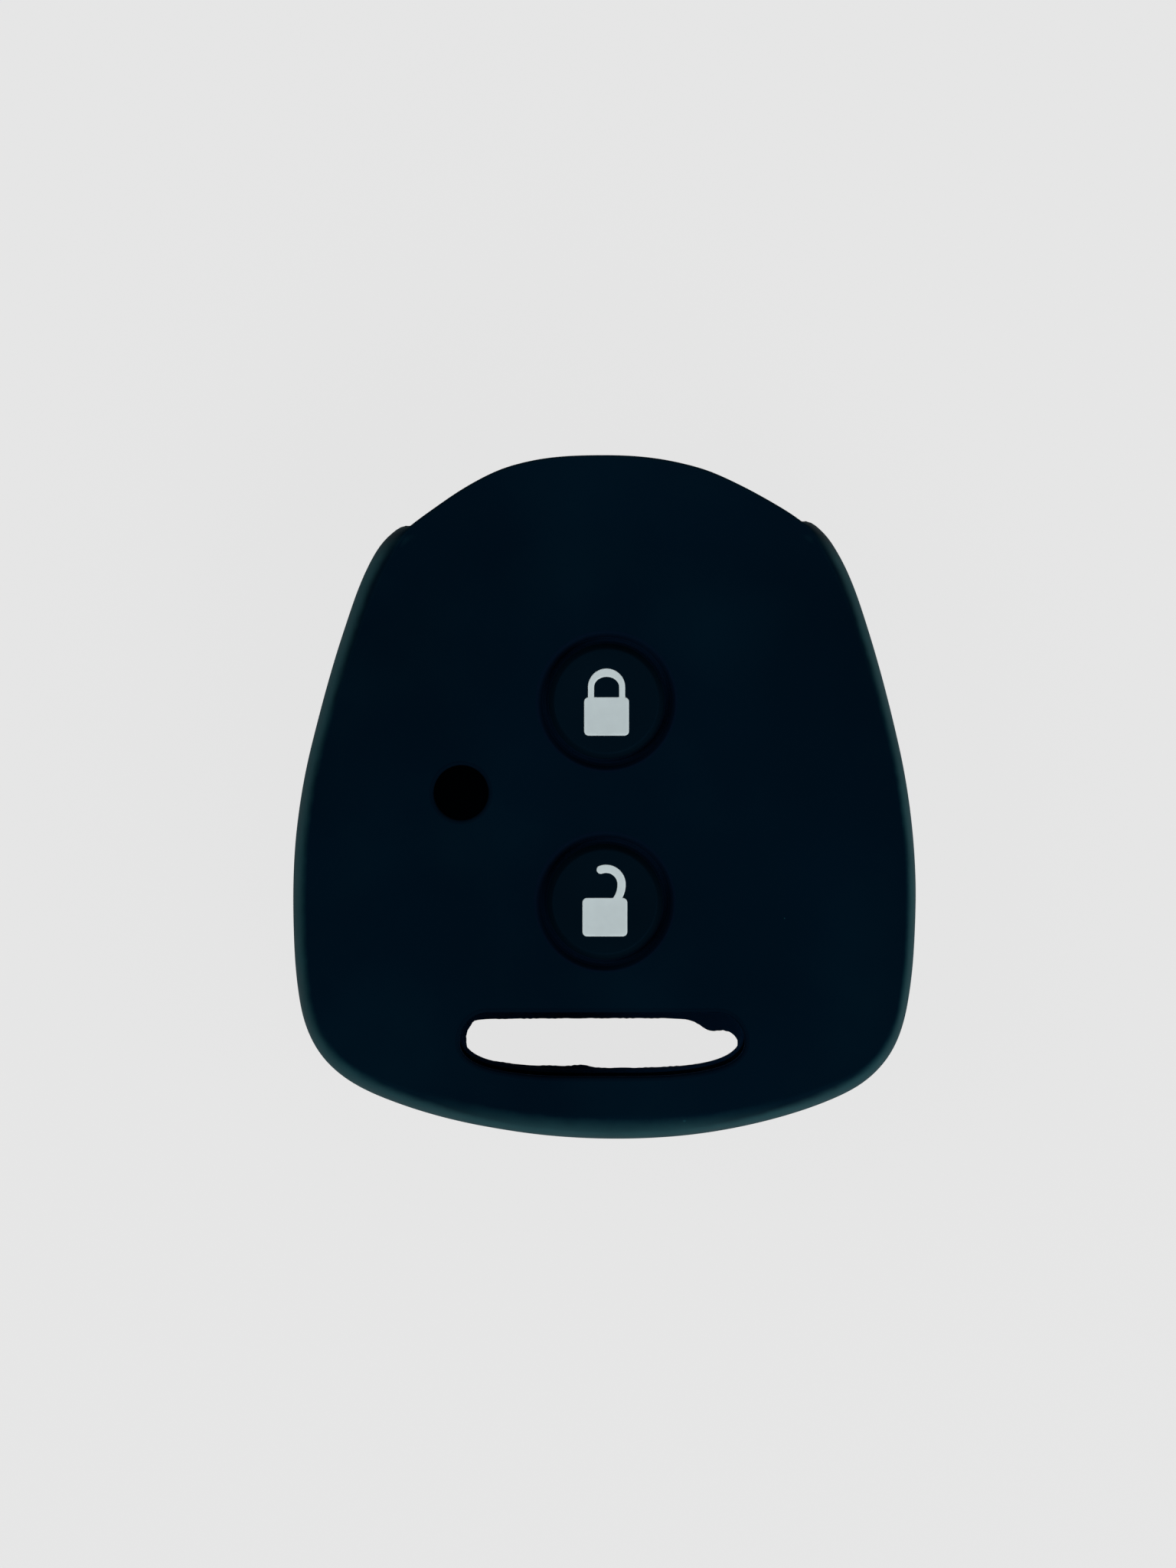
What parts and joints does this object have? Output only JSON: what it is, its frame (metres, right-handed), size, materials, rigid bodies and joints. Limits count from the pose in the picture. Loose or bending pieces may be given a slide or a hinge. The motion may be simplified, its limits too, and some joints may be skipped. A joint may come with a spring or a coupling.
{
  "type": "silicone key fob cover",
  "caption": "Moulded silicone sleeve for the head of a remote key, with an open mouth, press pads marked with padlock signs, a pilot light window and a key ring slot.",
  "frame": {"origin": "middle of the back face's footprint, under the middle of the cover's outline, with the cover lying on its back", "axes": "+Z out of the front face that has the press pads, +Y out of the mouth at the domed end, +X to the right of somebody who looks at the front face with the mouth up"},
  "size_m": [0.045, 0.0492, 0.0153],
  "materials": {
    "sleeve_silicone": "matt black silicone with a cold blue cast",
    "pad_silicone": "matt black silicone, a little smoother than the sleeve",
    "web_silicone": "thin matt black silicone",
    "sign_print": "pale grey white silicone print"
  },
  "bodies": {
    "sleeve": {"sleeve": "sleeve_silicone", "lock_pad_web": "web_silicone", "unlock_pad_web": "web_silicone"},
    "lock_pad": {"lock_pad": "pad_silicone", "lock_icon": "sign_print"},
    "unlock_pad": {"unlock_pad": "pad_silicone", "unlock_icon": "sign_print"}
  },
  "joints": [
    {"name": "lock_pad_press", "type": "slide", "parent": "sleeve", "child": "lock_pad", "axis": [0, 0, -1], "range_m": [0, 0.0008], "stiffness_N_per_m": 600, "deforming": ["lock_pad_web"]},
    {"name": "unlock_pad_press", "type": "slide", "parent": "sleeve", "child": "unlock_pad", "axis": [0, 0, -1], "range_m": [0, 0.0008], "stiffness_N_per_m": 600, "deforming": ["unlock_pad_web"]}
  ]
}
